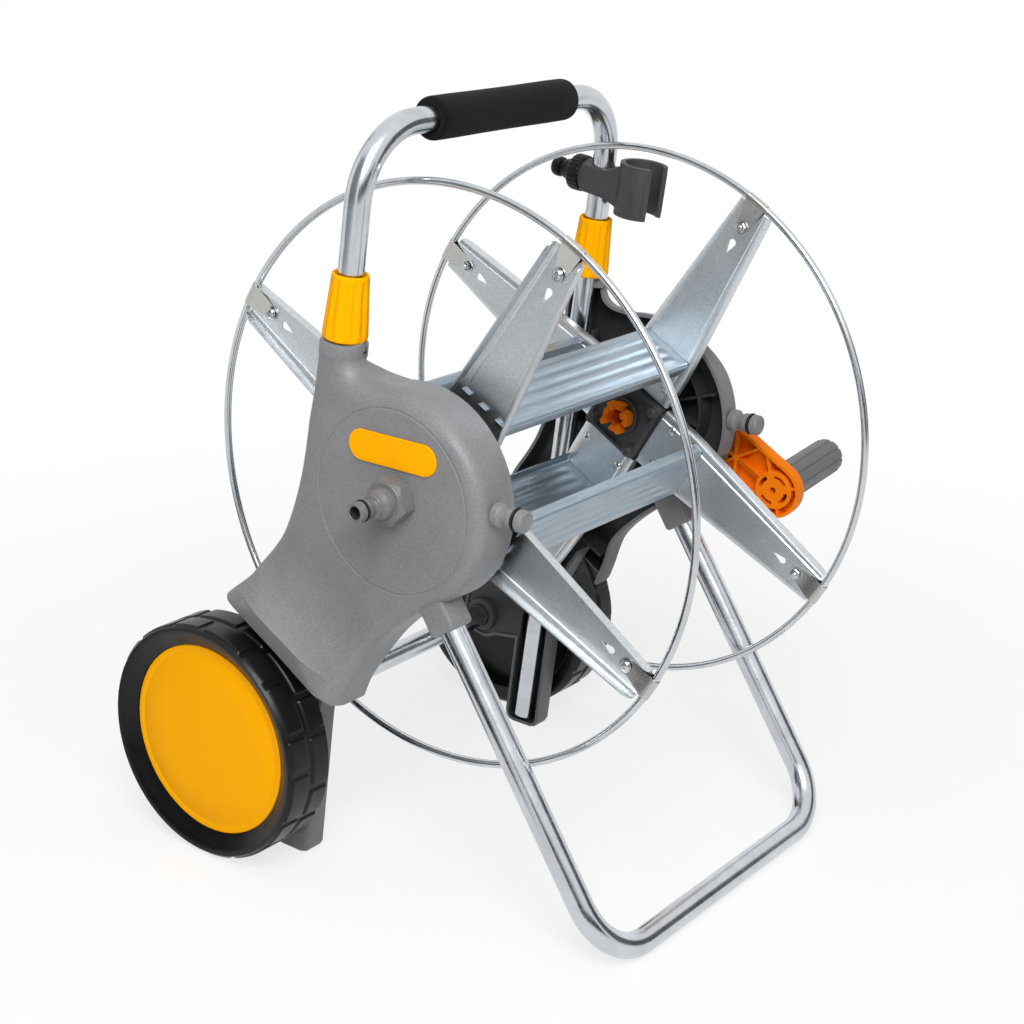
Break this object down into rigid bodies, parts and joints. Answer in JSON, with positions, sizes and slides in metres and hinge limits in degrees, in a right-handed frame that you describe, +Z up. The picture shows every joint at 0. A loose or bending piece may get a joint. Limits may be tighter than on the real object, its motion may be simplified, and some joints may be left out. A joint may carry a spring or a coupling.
{
  "type": "garden hose reel cart",
  "caption": "Wheeled garden hose reel cart: open wire drum with sheet-steel arms and slats, hand crank, moulded side panels, tube stand and a height-adjustable tube handle.",
  "frame": {"origin": "middle of the bounding box in X and Y, on the floor", "axes": "+X along the drum's axle towards the crank, -Y to the front (stand), +Z up"},
  "size_m": [0.532, 0.4916, 0.6119],
  "materials": {
    "grey_plastic": "fine satin moulded plastic",
    "crank_grip_plastic": "satin moulded plastic",
    "dark_plastic": "satin moulded plastic",
    "black_plastic": "satin",
    "tyre": "satin black",
    "foam": "matt foam",
    "seal_rubber": "matt",
    "yellow_plastic": "semi-gloss moulded plastic",
    "orange_plastic": "semi-gloss moulded plastic",
    "zinc_tube": "bright zinc-plated tube",
    "zinc_wire": "bright zinc-plated wire",
    "galvanised_sheet": "spangled galvanised sheet",
    "plated_steel": "plated"
  },
  "bodies": {
    "frame": {"side_panel_right": "grey_plastic", "side_panel_left": "grey_plastic", "stand_tube": "zinc_tube", "axle_tube": "zinc_tube", "axle_cap_right": "plated_steel", "axle_cap_left": "plated_steel", "park_stud_right": "grey_plastic", "park_stud_left": "grey_plastic", "stud_ring_right": "seal_rubber", "stud_ring_left": "seal_rubber", "inlet_nut": "grey_plastic", "inlet_nozzle": "grey_plastic", "inlet_ring": "seal_rubber", "badge": "yellow_plastic", "bush_right": "dark_plastic", "bush_left": "dark_plastic"},
    "drum": {"hoop_right": "zinc_wire", "hoop_left": "zinc_wire", "arm_1_right": "galvanised_sheet", "arm_1_left": "galvanised_sheet", "arm_2_right": "galvanised_sheet", "arm_2_left": "galvanised_sheet", "arm_3_right": "galvanised_sheet", "arm_3_left": "galvanised_sheet", "arm_4_right": "galvanised_sheet", "arm_4_left": "galvanised_sheet", "clip_1_right": "plated_steel", "clip_1_left": "plated_steel", "clip_2_right": "plated_steel", "clip_2_left": "plated_steel", "clip_3_right": "plated_steel", "clip_3_left": "plated_steel", "clip_4_right": "plated_steel", "clip_4_left": "plated_steel", "slat_1": "galvanised_sheet", "slat_2": "galvanised_sheet", "slat_3": "galvanised_sheet", "slat_4": "galvanised_sheet", "hub_plate_right": "dark_plastic", "hub_plate_left": "dark_plastic", "outlet_elbow": "dark_plastic", "crank_arm": "orange_plastic", "crank_pin": "plated_steel"},
    "crank_handle": {"crank_grip": "crank_grip_plastic"},
    "wheel_right": {"wheel_right": "tyre", "wheel_cap_right": "yellow_plastic"},
    "wheel_left": {"wheel_left": "tyre", "wheel_cap_left": "yellow_plastic"},
    "handle": {"handle_tube": "zinc_tube", "foam_grip": "foam"},
    "collar_right": {"collar_right": "yellow_plastic"},
    "collar_left": {"collar_left": "yellow_plastic"},
    "nozzle_holder": {"nozzle_holder": "dark_plastic", "holder_connector": "black_plastic"}
  },
  "joints": [
    {"name": "drum_spin", "type": "hinge", "parent": "frame", "child": "drum", "pos_m": [-0.04252, -0.0178, 0.3338], "axis": [1, 0, 0], "continuous": true},
    {"name": "crank_grip_spin", "type": "hinge", "parent": "drum", "child": "crank_handle", "pos_m": [0.21745, -0.11962, 0.27334], "axis": [0.9969, 0.0675, 0.0401], "continuous": true},
    {"name": "wheel_right_spin", "type": "hinge", "parent": "frame", "child": "wheel_right", "pos_m": [0.15498, 0.1466, 0.0992], "axis": [1, 0, 0], "continuous": true},
    {"name": "wheel_left_spin", "type": "hinge", "parent": "frame", "child": "wheel_left", "pos_m": [-0.24002, 0.1466, 0.0992], "axis": [1, 0, 0], "continuous": true},
    {"name": "handle_slide", "type": "slide", "parent": "frame", "child": "handle", "axis": [0, -0.1149, 0.9934], "range_m": [0, 0.28]},
    {"name": "collar_right_twist", "type": "hinge", "parent": "frame", "child": "collar_right", "pos_m": [0.11498, 0.04782, 0.4639], "axis": [0, -0.1149, 0.9934], "range_deg": [0, 90]},
    {"name": "collar_left_twist", "type": "hinge", "parent": "frame", "child": "collar_left", "pos_m": [-0.20002, 0.04782, 0.4639], "axis": [0, -0.1149, 0.9934], "range_deg": [0, 90]},
    {"name": "nozzle_holder_swivel", "type": "hinge", "parent": "handle", "child": "nozzle_holder", "pos_m": [0.11498, 0.04111, 0.5219], "axis": [0, -0.1149, 0.9934], "range_deg": [-3, 15]}
  ]
}
